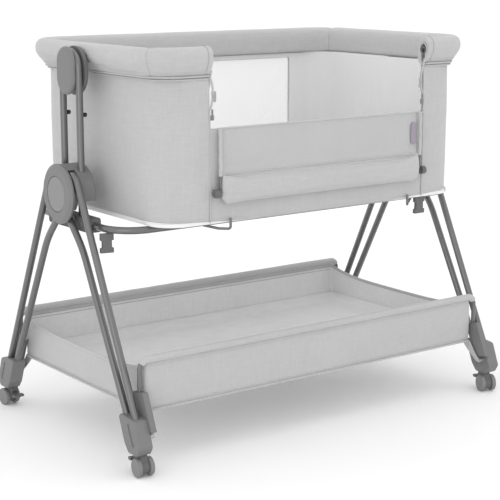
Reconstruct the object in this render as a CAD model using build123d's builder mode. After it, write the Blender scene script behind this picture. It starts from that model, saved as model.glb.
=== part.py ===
from build123d import *
import os
from math import cos, radians, sin

os.makedirs("parts", exist_ok=True)

# Bassinet on stand, in millimetres. +X is the right end, -Y the front (drop) side, +Z up.
# The origin is on the floor under the middle of the stand.

GAP = 0.3                      # clearance between pieces that don't touch
ENDS = (("left", -1), ("right", 1))
LEGS = (("front", -1), ("back", 1))

# padded rail around the top
RAIL_TOP = 843.0
RAIL_HEIGHT = 60.0
RAIL_WIDTH = 38.0
RAIL_X = 419.0                 # centre line of the rail, half-length
RAIL_Y = 249.0                 # centre line of the rail, half-width
RAIL_BEND = 76.0
RAIL_TUBE_R = 8.0
RAIL_Z = RAIL_TOP - RAIL_HEIGHT / 2
GATE_X = 290.0                 # half-width of the gap that the drop side closes

# fabric body
BODY_X = 403.0
BODY_Y = 251.0
BODY_BEND = 60.0
WALL = 4.0
BODY_TOP = RAIL_TOP - RAIL_HEIGHT - GAP
BODY_BOTTOM = 490.0
BOARD_THICK = 7.0
MATTRESS_THICK = 40.0
WINDOW_LOW = 560.0
WINDOW_HIGH = 770.0
WINDOW_X = 296.0
BACK_X = 312.0                 # half-width of the back wall between the wrapped ends

# drop side, hanging folded down outside
HINGE_Y = -255.0
HINGE_Z = 680.0
BAR_Y = -264.0
BAR_Z = 547.0
BAR_HEIGHT = 72.0
BAR_DEPTH = 24.0
BAR_X = 277.0
ROD_R = 3.0
ARM_X = 273.0
MESH_X = 268.0
MESH_THICK = 2.0
LATCH_R = 9.0
HEM_WIRE_R = 2.8

# uprights and the frame under the bassinet
TUBE_R = 7.5
TUBE_WALL = 1.2
UPRIGHT_X = 464.0
UPRIGHT_Y = 34.0
UPRIGHT_TOP = 826.0
FRAME_Z = 474.3
FRAME_Y = 185.0
FRAME_BEND = 70.0
BRACKET_Y = 88.0
STUD_Z = 698.0

# hubs
HUB_Z = 533.0
HUB_R = 63.0
HUB_FACE_X = 506.0
COVER_BACK_X = 496.8
BARREL_OUT_X = 479.0
BARREL_IN_X = 444.0
BARREL_CUT_Z = 522.0
CROWN_R = 59.0                 # inner radius of the roof over the legs' upper ends
CROWN_SPREAD = 31.0            # degrees that the roof covers to each side of the top
CHEEK_R = 47.0                 # outer radius of the walls between the legs
BUTTON_R = 37.6
BUTTON_POCKET_X = 494.4
AXLE_R = 8.0

# legs
LEG_X = 488.0
OUTER_LEG = ((20.0, 575.0), (53.5, 575.0), (279.0, 100.0), (294.6, 67.0))
INNER_LEG = ((24.5, 480.5), (76.7, 425.0), (247.0, 100.0), (264.3, 67.0))
OUTER_BEND = 25.0
INNER_BEND = 200.0
KNUCKLE_R = 34.0
KNUCKLE_THICK = 4.6

# shoes, basket rods and basket
SHOE_HALF_X = 16.0
STEM_X = 484.0
STEM_Y = 281.0
SHOE_LOW = 44.0
SHOE_TOP = 120.0
ROD_X = 467.5
BASKET_ROD_R = 5.0
BASKET_ROD_Y = 256.0
BASKET_ROD_Z = 226.0
BASKET_X = 448.0
BASKET_Y = 258.0
BASKET_LOW = 118.0
BASKET_WALL = 3.0
BASKET_SIDE_TOP = 197.0
BASKET_LONG_TOP = 217.0

# casters
WHEEL_R = 19.0
WHEEL_THICK = 9.0
WHEEL_X = 13.5
TRAIL = 12.0
STEM_R = 4.0
PIN_R = 3.0
CASTER_YAW = {("front", "left"): -6.0, ("front", "right"): -18.0,
              ("back", "left"): 6.0, ("back", "right"): 18.0}


def save(part, name):
    part.label = name
    export_step(part, f"parts/{name}.step")


def tube_along(points, bends, outer, wall=0.0):
    """A round tube, or a rod where wall is 0, along straight runs joined by arcs."""
    with BuildPart() as run:
        with BuildLine() as path:
            FilletPolyline(*points, radius=bends)
        start = path.line @ 0
        with BuildSketch(Plane(origin=start, z_dir=path.line % 0)):
            Circle(outer)
            if wall:
                Circle(outer - wall, mode=Mode.SUBTRACT)
        sweep(path=path.line)
    return run.part


def ring_sketch(half_x, half_y, bend, thickness):
    """The plan of a thin wall on a rounded rectangle."""
    RectangleRounded(2 * half_x, 2 * half_y, bend)
    RectangleRounded(2 * (half_x - thickness), 2 * (half_y - thickness), bend - thickness,
                     mode=Mode.SUBTRACT)


def stadium(width, height):
    SlotOverall(height, width, rotation=90)


# ---------------------------------------------------------------- hubs


def sector(inner, outer, start, end):
    """Add a slice of ring around the hub's axis, between two angles in degrees, to the sketch."""
    with BuildLine() as edge:
        low, high = (Vector(cos(radians(a)), sin(radians(a))) for a in (start, end))
        hub = Vector(0, HUB_Z)
        middle = Vector(cos(radians((start + end) / 2)), sin(radians((start + end) / 2)))
        ThreePointArc(hub + low * inner, hub + middle * inner, hub + high * inner)
        Line(hub + high * inner, hub + high * outer)
        ThreePointArc(hub + high * outer, hub + middle * outer, hub + low * outer)
        Line(hub + low * outer, hub + low * inner)
    make_face(edge.edges())


def hub_shells():
    """Half barrels that guide the uprights, with a block that carries the cover."""
    with BuildPart() as shell:
        with BuildSketch(Plane.YZ.offset(-BARREL_OUT_X)):
            with Locations((0, HUB_Z)):
                Circle(HUB_R - 1)
            with Locations((0, BARREL_CUT_Z - HUB_R)):
                Rectangle(4 * HUB_R, 2 * HUB_R, mode=Mode.SUBTRACT)
        extrude(amount=BARREL_OUT_X - BARREL_IN_X)
        inner_edges = shell.edges().group_by(Axis.X)[-1]
        fillet(inner_edges.filter_by(GeomType.CIRCLE), radius=4)
        with BuildSketch(Plane.YZ.offset(-BARREL_OUT_X)):
            with Locations((0, HUB_Z + 50)):
                Rectangle(26, 18)
            sector(CROWN_R, HUB_R - 1, 90 - CROWN_SPREAD, 90 + CROWN_SPREAD)
            sector(BUTTON_R + 3, CHEEK_R, -42, 8)
            sector(BUTTON_R + 3, CHEEK_R, 172, 222)
        extrude(amount=-(COVER_BACK_X - BARREL_OUT_X))
        with Locations((-UPRIGHT_X, -UPRIGHT_Y, HUB_Z), (-UPRIGHT_X, UPRIGHT_Y, HUB_Z)):
            Cylinder(TUBE_R + 0.1, 4 * HUB_R, mode=Mode.SUBTRACT)
        with Locations(Location((-BARREL_OUT_X, 0, HUB_Z), (0, 90, 0))):
            Cylinder(AXLE_R + 0.05, 4 * HUB_R, mode=Mode.SUBTRACT)
        mirror(about=Plane.YZ)
    save(shell.part, "hub_shells")


def hub_covers():
    """Round outer covers, each with a cup that holds the button."""
    with BuildPart() as cover:
        with BuildSketch(Plane.YZ.offset(-HUB_FACE_X)):
            with Locations((0, HUB_Z)):
                Circle(HUB_R)
        extrude(amount=HUB_FACE_X - COVER_BACK_X)
        chamfer(cover.edges().group_by(Axis.X)[0], length=5, length2=8)
        with BuildSketch(Plane.YZ.offset(-COVER_BACK_X)):
            with Locations((0, HUB_Z)):
                Circle(BUTTON_R + 2.1)
        extrude(amount=COVER_BACK_X - BUTTON_POCKET_X + 2)
        with BuildSketch(Plane.YZ.offset(-HUB_FACE_X)):
            with Locations((0, HUB_Z)):
                Circle(BUTTON_R + GAP)
        extrude(amount=HUB_FACE_X - BUTTON_POCKET_X, mode=Mode.SUBTRACT)
        mirror(about=Plane.YZ)
    save(cover.part, "hub_covers")


def hub_axles():
    """The bolt that each end's legs turn on, headed on the barrel's inner side."""
    with BuildPart() as axle:
        with BuildSketch(Plane.YZ.offset(-BUTTON_POCKET_X + 2)):
            with Locations((0, HUB_Z)):
                Circle(AXLE_R)
        extrude(amount=BUTTON_POCKET_X - 2 - BARREL_IN_X)
        with BuildSketch(Plane.YZ.offset(-BARREL_IN_X)):
            with Locations((0, HUB_Z)):
                RegularPolygon(11, 6)
        extrude(amount=5)
        mirror(about=Plane.YZ)
    save(axle.part, "hub_axles")


def hub_buttons():
    """Round push buttons in the covers."""
    for end, side in ENDS:
        with BuildPart() as button:
            with BuildSketch(Plane.YZ.offset(side * (HUB_FACE_X + 0.5))):
                with Locations((0, HUB_Z)):
                    Circle(BUTTON_R)
            extrude(amount=-side * 5.5)
            outer_edges = button.edges().group_by(Axis.X)[-1 if side > 0 else 0]
            fillet(outer_edges, radius=3.5)
        save(button.part, f"hub_button_{end}")


# ---------------------------------------------------------------- cradle frame


def uprights():
    """Inverted U tubes that slide in the hubs and carry the bassinet."""
    low = FRAME_Z + TUBE_R
    with BuildPart() as upright:
        add(tube_along([(-UPRIGHT_X, -UPRIGHT_Y, low), (-UPRIGHT_X, -UPRIGHT_Y, UPRIGHT_TOP),
                        (-UPRIGHT_X, UPRIGHT_Y, UPRIGHT_TOP), (-UPRIGHT_X, UPRIGHT_Y, low)],
                       UPRIGHT_Y - 0.01, TUBE_R, TUBE_WALL))
        mirror(about=Plane.YZ)
    save(upright.part, "uprights")


def upright_caps():
    """Oval outer caps with a plug that fills the upright's bend."""
    with BuildPart() as cap:
        with BuildSketch(Plane.YZ.offset(-UPRIGHT_X - TUBE_R - 0.2)):
            with Locations((0, 787.5)):
                stadium(67, 99)
        extrude(amount=-9)
        fillet(cap.edges().group_by(Axis.X)[0], radius=7)
        with BuildSketch(Plane.YZ.offset(-UPRIGHT_X - TUBE_R - 0.2)):
            with Locations((0, 778)):
                stadium(50, 76)
        extrude(amount=2 * TUBE_R)
        mirror(about=Plane.YZ)
    save(cap.part, "upright_caps")


def cap_backs():
    """Arched plates behind each bend, with a saddle that meets the rail's tube."""
    with BuildPart() as back:
        with BuildSketch(Plane.YZ.offset(-UPRIGHT_X + TUBE_R + 0.2)):
            with Locations((0, 787)):
                stadium(92, 101)
        extrude(amount=9)
        fillet(back.edges().group_by(Axis.X)[-1], radius=3)
        with BuildSketch(Plane.YZ.offset(-UPRIGHT_X + TUBE_R + 9)):
            with Locations((0, RAIL_Z)):
                Rectangle(60, 14)
        extrude(amount=UPRIGHT_X - TUBE_R - 9 - RAIL_X - RAIL_TUBE_R - 0.1)
        mirror(about=Plane.YZ)
    save(back.part, "cap_backs")


def upright_studs():
    """Rubber stops on the inner side of the uprights."""
    with BuildPart() as stud:
        with BuildSketch(Plane.YZ.offset(-UPRIGHT_X + TUBE_R)):
            with Locations((-UPRIGHT_Y, STUD_Z), (UPRIGHT_Y, STUD_Z)):
                Circle(4.5)
        extrude(amount=7)
        mirror(about=Plane.YZ)
    save(stud.part, "upright_studs")


def under_frame():
    """The loop of tube that the base rests on: two long tubes and two bent ends."""
    straight = UPRIGHT_X - FRAME_BEND
    with BuildPart() as long_tubes:
        with BuildSketch(Plane.YZ.offset(0.1 - straight)):
            with Locations((-FRAME_Y, FRAME_Z), (FRAME_Y, FRAME_Z)):
                Circle(TUBE_R)
            with Locations((-FRAME_Y, FRAME_Z), (FRAME_Y, FRAME_Z)):
                Circle(TUBE_R - TUBE_WALL, mode=Mode.SUBTRACT)
        extrude(amount=2 * (straight - 0.1))
    save(long_tubes.part, "frame_tubes")
    with BuildPart() as bends:
        add(tube_along([(-straight, -FRAME_Y, FRAME_Z), (-UPRIGHT_X, -FRAME_Y, FRAME_Z),
                        (-UPRIGHT_X, FRAME_Y, FRAME_Z), (-straight, FRAME_Y, FRAME_Z)],
                       FRAME_BEND - 0.01, TUBE_R, TUBE_WALL))
        mirror(about=Plane.YZ)
    save(bends.part, "frame_bends")


def frame_brackets():
    """Clamps under each hub that join the upright's ends to the loop tube."""
    with BuildPart() as bracket:
        with BuildSketch(Plane.YZ.offset(-UPRIGHT_X - 13)):
            with Locations((0, FRAME_Z)):
                RectangleRounded(2 * BRACKET_Y, 30, 6)
        extrude(amount=26)
        with Locations((-UPRIGHT_X, 0, FRAME_Z)):
            Cylinder(TUBE_R + 0.05, 4 * BRACKET_Y, rotation=(90, 0, 0), mode=Mode.SUBTRACT)
        with Locations((-UPRIGHT_X, -UPRIGHT_Y, FRAME_Z + 32), (-UPRIGHT_X, UPRIGHT_Y, FRAME_Z + 32)):
            Cylinder(TUBE_R + 0.4, 60, mode=Mode.SUBTRACT)
        mirror(about=Plane.YZ)
    save(bracket.part, "frame_brackets")


def bracket_screws():
    """Screw heads on the outer face of the clamps."""
    with BuildPart() as screw:
        with BuildSketch(Plane.YZ.offset(-UPRIGHT_X - 13)):
            with Locations((-56, FRAME_Z), (56, FRAME_Z)):
                Circle(5)
                Circle(1.8, mode=Mode.SUBTRACT)
        extrude(amount=-2)
        mirror(about=Plane.YZ)
    save(screw.part, "bracket_screws")


# ---------------------------------------------------------------- bassinet body


def base_board():
    with BuildPart() as board:
        with BuildSketch(Plane.XY.offset(BODY_BOTTOM - BOARD_THICK)):
            RectangleRounded(2 * BODY_X - 4, 2 * BODY_Y - 4, BODY_BEND - 2)
        extrude(amount=BOARD_THICK - GAP)
    save(board.part, "base_board")


def mattress():
    with BuildPart() as pad:
        with BuildSketch(Plane.XY.offset(BODY_BOTTOM)):
            RectangleRounded(2 * (BODY_X - WALL - 6), 2 * (BODY_Y - WALL - 6), BODY_BEND - 10)
        extrude(amount=MATTRESS_THICK)
        fillet(pad.edges().group_by(Axis.Z)[-1], radius=12)
    save(pad.part, "mattress")


def end_panels():
    """Fabric ends that wrap round both corners, as far as the gate's posts."""
    for end, side in ENDS:
        with BuildPart() as panel:
            with BuildSketch(Plane.XY.offset(BODY_BOTTOM)):
                ring_sketch(BODY_X, BODY_Y, BODY_BEND, WALL)
                with Locations((-side * (1000 - GATE_X), -2 * BODY_Y)):
                    Rectangle(2000, 4 * BODY_Y, mode=Mode.SUBTRACT)
                with Locations((-side * (1000 - BACK_X), 2 * BODY_Y)):
                    Rectangle(2000, 4 * BODY_Y, mode=Mode.SUBTRACT)
            extrude(amount=BODY_TOP - BODY_BOTTOM)
        save(panel.part, f"end_panel_{end}")


def back_panel():
    """Back wall of the body, with the window for the mesh."""
    middle = (WINDOW_LOW + WINDOW_HIGH) / 2
    with BuildPart() as panel:
        with BuildSketch(Plane.XZ.offset(-BODY_Y)):
            with Locations((0, (BODY_BOTTOM + BODY_TOP) / 2)):
                Rectangle(2 * (BACK_X - GAP), BODY_TOP - BODY_BOTTOM)
            with Locations((0, middle)):
                Rectangle(2 * WINDOW_X, WINDOW_HIGH - WINDOW_LOW, mode=Mode.SUBTRACT)
        extrude(amount=WALL)
    save(panel.part, "back_panel")
    with BuildPart() as mesh:
        with BuildSketch(Plane.XZ.offset(-BODY_Y + 1)):
            with Locations((0, middle)):
                Rectangle(2 * WINDOW_X - 0.2, WINDOW_HIGH - WINDOW_LOW - 0.2)
        extrude(amount=1.5)
    save(mesh.part, "back_window")


def front_panel():
    """Low front wall under the gate."""
    high = HINGE_Z - 2
    with BuildPart() as panel:
        with BuildSketch(Plane.XZ.offset(BODY_Y)):
            with Locations((0, (BODY_BOTTOM + high) / 2)):
                Rectangle(2 * (GATE_X - GAP), high - BODY_BOTTOM)
        extrude(amount=-WALL)
    save(panel.part, "front_panel")


# ---------------------------------------------------------------- padded rail


def padded_run(points, bends, notch=0):
    """A stretch of padded rail around the rail tube."""
    with BuildPart() as run:
        with BuildLine() as path:
            FilletPolyline(*points, radius=bends) if len(points) > 2 else Line(*points)
        start = path.line @ 0
        across = Vector(0, 0, 1).cross(path.line % 0)
        with BuildSketch(Plane(origin=start, x_dir=across, z_dir=path.line % 0)):
            RectangleRounded(RAIL_WIDTH, RAIL_HEIGHT, 16)
            Circle(RAIL_TUBE_R + 0.1, mode=Mode.SUBTRACT)
        sweep(path=path.line)
        if notch:
            with Locations((notch * (RAIL_X + 16), 0, RAIL_Z - 5)):
                Box(34, 94, RAIL_HEIGHT + 4, mode=Mode.SUBTRACT)
    return run.part


def rails():
    back_x = RAIL_X - RAIL_BEND
    for end, side in ENDS:
        run = padded_run([(side * GATE_X, -RAIL_Y, RAIL_Z), (side * RAIL_X, -RAIL_Y, RAIL_Z),
                          (side * RAIL_X, RAIL_Y, RAIL_Z), (side * (back_x - 1), RAIL_Y, RAIL_Z)],
                         RAIL_BEND, notch=side)
        save(run, f"rail_{end}")
    back = padded_run([(1.3 - back_x, RAIL_Y, RAIL_Z), (back_x - 1.3, RAIL_Y, RAIL_Z)], 0)
    save(back, "rail_back")


def rail_frame():
    """The steel tube inside the padded rail, open at the gate."""
    inset = GATE_X + 14
    with BuildPart() as frame:
        add(tube_along([(-inset, -RAIL_Y, RAIL_Z), (-RAIL_X, -RAIL_Y, RAIL_Z),
                        (-RAIL_X, RAIL_Y, RAIL_Z), (RAIL_X, RAIL_Y, RAIL_Z),
                        (RAIL_X, -RAIL_Y, RAIL_Z), (inset, -RAIL_Y, RAIL_Z)],
                       RAIL_BEND, RAIL_TUBE_R, TUBE_WALL))
    save(frame.part, "rail_frame")


def rail_sockets():
    """Plugs in the rail's open ends, with the round seat that the gate's latch faces."""
    with BuildPart() as socket:
        with BuildSketch(Plane.YZ.offset(-GATE_X - 0.5)):
            with Locations((-RAIL_Y, RAIL_Z)):
                Circle(RAIL_TUBE_R)
        extrude(amount=-13)
        with BuildSketch(Plane.YZ.offset(-GATE_X - 0.5)):
            with Locations((-RAIL_Y, RAIL_Z)):
                Circle(5)
        extrude(amount=-8, mode=Mode.SUBTRACT)
        mirror(about=Plane.YZ)
    save(socket.part, "rail_sockets")


# ---------------------------------------------------------------- drop side


def drop_side():
    """The gate: mesh panel, padded top bar, steel rod with side arms and latch knobs."""
    mesh_low = BAR_Z + BAR_HEIGHT / 2 + 0.5
    with BuildPart() as mesh:
        with BuildSketch(Plane.XZ.offset(256)):
            with Locations((0, (mesh_low + HINGE_Z - 1) / 2)):
                Rectangle(2 * MESH_X, HINGE_Z - 1 - mesh_low)
        extrude(amount=MESH_THICK)
    save(mesh.part, "drop_mesh")

    with BuildPart() as pad:
        with BuildSketch(Plane.YZ.offset(-BAR_X)):
            with Locations((BAR_Y, BAR_Z)):
                RectangleRounded(BAR_DEPTH, BAR_HEIGHT, 11)
        extrude(amount=2 * BAR_X)
        add(drop_rod(0.1), mode=Mode.SUBTRACT)
    save(pad.part, "drop_pad")

    save(drop_rod(0), "drop_frame")

    with BuildPart() as latch:
        with BuildSketch(Plane.YZ.offset(-BAR_X - 0.3)):
            with Locations((BAR_Y, BAR_Z)):
                Circle(LATCH_R)
        extrude(amount=-(GATE_X - BAR_X - 1.3))
        fillet(latch.edges().group_by(Axis.X)[0], radius=3)
        mirror(about=Plane.YZ)
    save(latch.part, "drop_latches")


def drop_rod(grow):
    return tube_along([(-ARM_X, BAR_Y, HINGE_Z - 4), (-ARM_X, BAR_Y, BAR_Z),
                       (ARM_X, BAR_Y, BAR_Z), (ARM_X, BAR_Y, HINGE_Z - 4)], 12, ROD_R + grow)


def zip_sliders():
    with BuildPart() as slider:
        with Locations((-285.5, -BODY_Y - 2.2, 700)):
            Box(7, 3.6, 10)
        with Locations((-285.5, -BODY_Y - 3, 711)):
            Box(4, 1.4, 12)
        mirror(about=Plane.YZ)
    save(slider.part, "zip_sliders")


def buckle_at(place, turn):
    """Half a side-release buckle hanging on a short strap."""
    with BuildPart() as half:
        with BuildSketch(Plane.XZ.offset(4)):
            with Locations((0, -7)):
                Rectangle(28, 14)
            with Locations((0, -22)):
                Rectangle(20, 18)
            with Locations((0, -35)):
                Rectangle(28, 10)
        extrude(amount=-8)
    return half.part.rotate(Axis.Z, turn).translate(place)


def buckles():
    with BuildPart() as pair:
        add(buckle_at((-UPRIGHT_X, -132, FRAME_Z - TUBE_R - 1), -12))
        add(buckle_at((300, -236, BODY_BOTTOM - BOARD_THICK - 0.5), 0))
    save(pair.part, "buckles")


def hem_wires():
    """Bent wire tails of the gate's release under the front edge."""
    low = BODY_BOTTOM - BOARD_THICK
    with BuildPart() as wires:
        add(tube_along([(-288, -222, low - 6), (-262, -240, low - 13), (-244, -258, low - 13),
                        (-244, -258, low + 10)], 6, HEM_WIRE_R))
        mirror(about=Plane.YZ)
    save(wires.part, "hem_wires")


# ---------------------------------------------------------------- legs


def leg_runs(depth, grow):
    """The two tubes of a left leg; grow makes them solid and fatter, to cut their seats."""
    wall = 0.0 if grow else TUBE_WALL
    outer = [(-LEG_X, depth * y, z) for y, z in OUTER_LEG[:2] + OUTER_LEG[-1:]]
    inner = [(-LEG_X, depth * y, z) for y, z in INNER_LEG[:2] + INNER_LEG[-1:]]
    return [tube_along(outer, OUTER_BEND, TUBE_R + grow, wall),
            tube_along(inner, INNER_BEND, TUBE_R + grow, wall)]


def knuckle(depth):
    """The plate that joins a leg's tubes and turns on the hub's axle."""
    first = 482.0 if depth < 0 else 482.0 + KNUCKLE_THICK + 0.6
    with BuildPart() as plate:
        with BuildSketch(Plane.YZ.offset(-first)):
            with Locations((0, HUB_Z)):
                Circle(KNUCKLE_R)
            for y, z in (OUTER_LEG[0], INNER_LEG[0]):
                reach = Vector(depth * y * 1.15, z)
                hub = Vector(0, HUB_Z)
                SlotCenterPoint((hub + reach) / 2, reach, 15)
            with Locations((0, HUB_Z)):
                Circle(AXLE_R + 0.1, mode=Mode.SUBTRACT)
        extrude(amount=-KNUCKLE_THICK)
    return plate.part


def save_pair(part, name):
    """Write the left piece and its mirror image on the right."""
    save(part, f"{name}_left")
    save(mirror(part, about=Plane.YZ, mode=Mode.PRIVATE), f"{name}_right")


def legs():
    for where, depth in LEGS:
        with BuildPart() as leg:
            for run in leg_runs(depth, 0):
                add(run)
            add(knuckle(depth))
        save_pair(leg.part, f"leg_{where}")


def shoes():
    """Plastic boots that hold both tubes of a leg, the basket rod and the caster's stem."""
    for where, depth in LEGS:
        with BuildPart() as shoe:
            with BuildSketch(Plane.YZ.offset(-LEG_X - SHOE_HALF_X)):
                with BuildLine():
                    Polyline((depth * 266, SHOE_LOW), (depth * 300, SHOE_LOW),
                             (depth * 310, 62), (depth * 290, SHOE_TOP - 6),
                             (depth * 228, SHOE_TOP), (depth * 252, 62), close=True)
                make_face()
            extrude(amount=2 * SHOE_HALF_X)
            fillet(shoe.edges().filter_by(Axis.X), radius=8)
            fillet(shoe.edges().group_by(Axis.X)[0], radius=3)
            with BuildSketch(Plane.YZ.offset(SHOE_HALF_X - LEG_X - 1)):
                with BuildLine():
                    Polyline((depth * 275, 164), (depth * 307, 90), (depth * 272, 84),
                             (depth * 238, 160), close=True)
                make_face()
            extrude(amount=13)
            with BuildSketch(Plane.YZ.offset(-LEG_X - SHOE_HALF_X)):
                with Locations((depth * 279, 84)):
                    SlotOverall(48, 9, rotation=90 + depth * 24)
            extrude(amount=1.5, mode=Mode.SUBTRACT)
            for run in leg_runs(depth, 0.05):
                add(run, mode=Mode.SUBTRACT)
            with Locations((-ROD_X, depth * BASKET_ROD_Y, 160)):
                Cylinder(BASKET_ROD_R + 0.05, 50, mode=Mode.SUBTRACT)
            with Locations((-STEM_X, depth * STEM_Y, SHOE_LOW)):
                Cylinder(STEM_R + 0.1, 44, mode=Mode.SUBTRACT)
        save_pair(shoe.part, f"shoe_{where}")


def shoe_screws():
    """Screws on the shoes' inner face that the basket's straps hook on."""
    for where, depth in LEGS:
        with BuildPart() as screw:
            with BuildSketch(Plane.YZ.offset(-(LEG_X - SHOE_HALF_X))):
                with Locations((depth * 288, 76)):
                    Circle(5)
            extrude(amount=14)
            mirror(about=Plane.YZ)
        save(screw.part, f"shoe_screws_{where}")


# ---------------------------------------------------------------- basket


def basket_rods():
    for where, depth in LEGS:
        y = depth * BASKET_ROD_Y
        rod = tube_along([(-ROD_X, y, 136), (-ROD_X, y, BASKET_ROD_Z),
                          (ROD_X, y, BASKET_ROD_Z), (ROD_X, y, 136)], 20, BASKET_ROD_R, TUBE_WALL)
        save(rod, f"basket_rod_{where}")


def basket():
    """The fabric tub between the rods, with low ends, and its stiff floor."""
    with BuildPart() as tub:
        with BuildSketch(Plane.XY.offset(BASKET_LOW)):
            RectangleRounded(2 * BASKET_X, 2 * BASKET_Y, 12)
        extrude(amount=BASKET_LONG_TOP - BASKET_LOW)
        inside_x = BASKET_X - BASKET_WALL
        inside_y = BASKET_Y - BASKET_WALL
        with BuildSketch(Plane.XY.offset(BASKET_LOW + BASKET_WALL)):
            RectangleRounded(2 * inside_x, 2 * inside_y, 9)
        extrude(amount=BASKET_LONG_TOP - BASKET_LOW, mode=Mode.SUBTRACT)
        with Locations((0, 0, BASKET_SIDE_TOP + 30)):
            Box(4 * BASKET_X, 2 * inside_y - 30, 60, mode=Mode.SUBTRACT)
    save(tub.part, "basket_tub")
    with BuildPart() as board:
        with BuildSketch(Plane.XY.offset(BASKET_LOW + BASKET_WALL + 0.1)):
            RectangleRounded(2 * inside_x - 12, 2 * inside_y - 12, 8)
        extrude(amount=4)
    save(board.part, "basket_board")


def basket_straps():
    """Elastic corner straps from the basket to the screws."""
    for where, depth in LEGS:
        low = Vector(-456.5, depth * 288, 76)
        high = Vector(-(BASKET_X + 4), depth * 262, 122)
        along = (high - low).normalized()
        with BuildPart() as strap:
            with BuildSketch(Plane(origin=low, x_dir=(0, 1, 0), z_dir=along)):
                Rectangle(14, 1.4)
            extrude(amount=(high - low).length)
            mirror(about=Plane.YZ)
        save(strap.part, f"basket_straps_{where}")


# ---------------------------------------------------------------- casters


def caster(where, depth, end, side):
    """A twin-wheel swivel caster: fork with stem, wheel pair on its pin, brake pedal.

    Local x is along the wheel pin and local y points away from the trailing wheels.
    """
    yaw = radians(CASTER_YAW[where, end])
    along = Vector(cos(yaw), sin(yaw), 0) * (-depth)
    ground = Plane(origin=(side * STEM_X, depth * STEM_Y, 0), x_dir=along, z_dir=(0, 0, 1))
    middle = Plane(origin=ground.origin, x_dir=ground.y_dir, z_dir=ground.x_dir)
    label = f"{where}_{end}"

    with BuildPart() as fork:
        with BuildSketch(middle.offset(-8.4)):
            with BuildLine():
                Polyline((-TRAIL - 15, WHEEL_R), (-13, 43.4), (13, 43.4), (13, 34),
                         (2.5, 30), (2.5, WHEEL_R), close=True)
            make_face()
            with Locations((-TRAIL, WHEEL_R)):
                Circle(14.5)
        extrude(amount=16.8)
        with BuildSketch(middle.offset(-8.4)):
            with Locations((7.5, 30)):
                Rectangle(10, 9)
        extrude(amount=16.8)
        with BuildSketch(middle.offset(-6.3)):
            with Locations((8, 27.5)):
                Rectangle(11, 12.4)
        extrude(amount=12.6, mode=Mode.SUBTRACT)
        with BuildSketch(middle.offset(-20)):
            with Locations((-TRAIL, WHEEL_R)):
                Circle(PIN_R + 0.1)
            with Locations((8.5, 29)):
                Circle(1.6)
        extrude(amount=40, mode=Mode.SUBTRACT)
        with BuildSketch(ground.offset(43.4)):
            Circle(STEM_R)
        extrude(amount=20)
    save(fork.part, f"caster_fork_{label}")

    with BuildPart() as wheels:
        for start in (-WHEEL_X - WHEEL_THICK / 2, WHEEL_X - WHEEL_THICK / 2):
            with BuildSketch(middle.offset(start)):
                with Locations((-TRAIL, WHEEL_R)):
                    Circle(WHEEL_R)
            extrude(amount=WHEEL_THICK)
        fillet(wheels.edges().filter_by(GeomType.CIRCLE), radius=1.5)
        with BuildSketch(middle.offset(-WHEEL_X)):
            with Locations((-TRAIL, WHEEL_R)):
                Circle(PIN_R)
        extrude(amount=2 * WHEEL_X)
    save(wheels.part, f"caster_wheels_{label}")

    with BuildPart() as pedal:
        with BuildSketch(middle.offset(-6)):
            with Locations((8.5, 29)):
                Circle(3)
            with Locations((15, 27.5)):
                Rectangle(13, 4)
        extrude(amount=12)
        with BuildSketch(middle.offset(-12)):
            with Locations((25.5, 26.5)):
                RectangleRounded(13, 6, 2)
        extrude(amount=24)
        with BuildSketch(middle.offset(-8.3)):
            with Locations((8.5, 29)):
                Circle(1.5)
        extrude(amount=16.6)
    save(pedal.part, f"brake_pedal_{label}")


hub_shells()
hub_covers()
hub_axles()
hub_buttons()
uprights()
upright_caps()
cap_backs()
upright_studs()
under_frame()
frame_brackets()
bracket_screws()
base_board()
mattress()
end_panels()
back_panel()
front_panel()
rails()
rail_frame()
rail_sockets()
drop_side()
zip_sliders()
buckles()
hem_wires()
legs()
shoes()
shoe_screws()
basket_rods()
basket()
basket_straps()
for where, depth in LEGS:
    for end, side in ENDS:
        caster(where, depth, end, side)
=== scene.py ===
"""Bassinet on stand: fabric, padding, seams and finishes built around the fixed frame."""
import math
from contextlib import contextmanager

import bmesh
import bpy
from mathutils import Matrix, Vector, noise


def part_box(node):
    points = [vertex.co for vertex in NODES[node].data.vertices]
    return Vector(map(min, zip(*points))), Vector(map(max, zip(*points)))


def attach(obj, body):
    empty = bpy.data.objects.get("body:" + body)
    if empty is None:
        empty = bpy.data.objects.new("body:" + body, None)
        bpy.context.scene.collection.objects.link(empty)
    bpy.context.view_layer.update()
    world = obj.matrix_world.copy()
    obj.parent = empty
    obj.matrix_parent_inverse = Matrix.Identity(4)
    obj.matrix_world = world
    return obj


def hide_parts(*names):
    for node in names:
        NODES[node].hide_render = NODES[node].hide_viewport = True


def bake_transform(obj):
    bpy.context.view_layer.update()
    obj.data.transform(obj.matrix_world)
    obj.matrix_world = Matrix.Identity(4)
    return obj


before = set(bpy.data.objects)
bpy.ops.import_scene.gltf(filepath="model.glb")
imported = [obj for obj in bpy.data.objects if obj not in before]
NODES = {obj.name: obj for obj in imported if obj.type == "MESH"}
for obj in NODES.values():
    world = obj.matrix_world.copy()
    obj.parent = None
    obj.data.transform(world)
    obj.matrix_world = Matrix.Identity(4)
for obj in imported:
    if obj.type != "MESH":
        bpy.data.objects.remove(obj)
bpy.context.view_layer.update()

bl_info = {
    "name": "Bassinet on stand",
    "version": (1, 0, 0),
    "blender": (4, 5, 0),
    "location": "3D View > Sidebar > Bassinet",
    "description": "Builds the soft parts, seams and finishes of a bassinet on its stand",
    "category": "Add Mesh",
}

MM = 0.001


def corners(node):
    """A node's lowest and highest corner as vectors."""
    low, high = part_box(node)
    return Vector(low), Vector(high)


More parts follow.
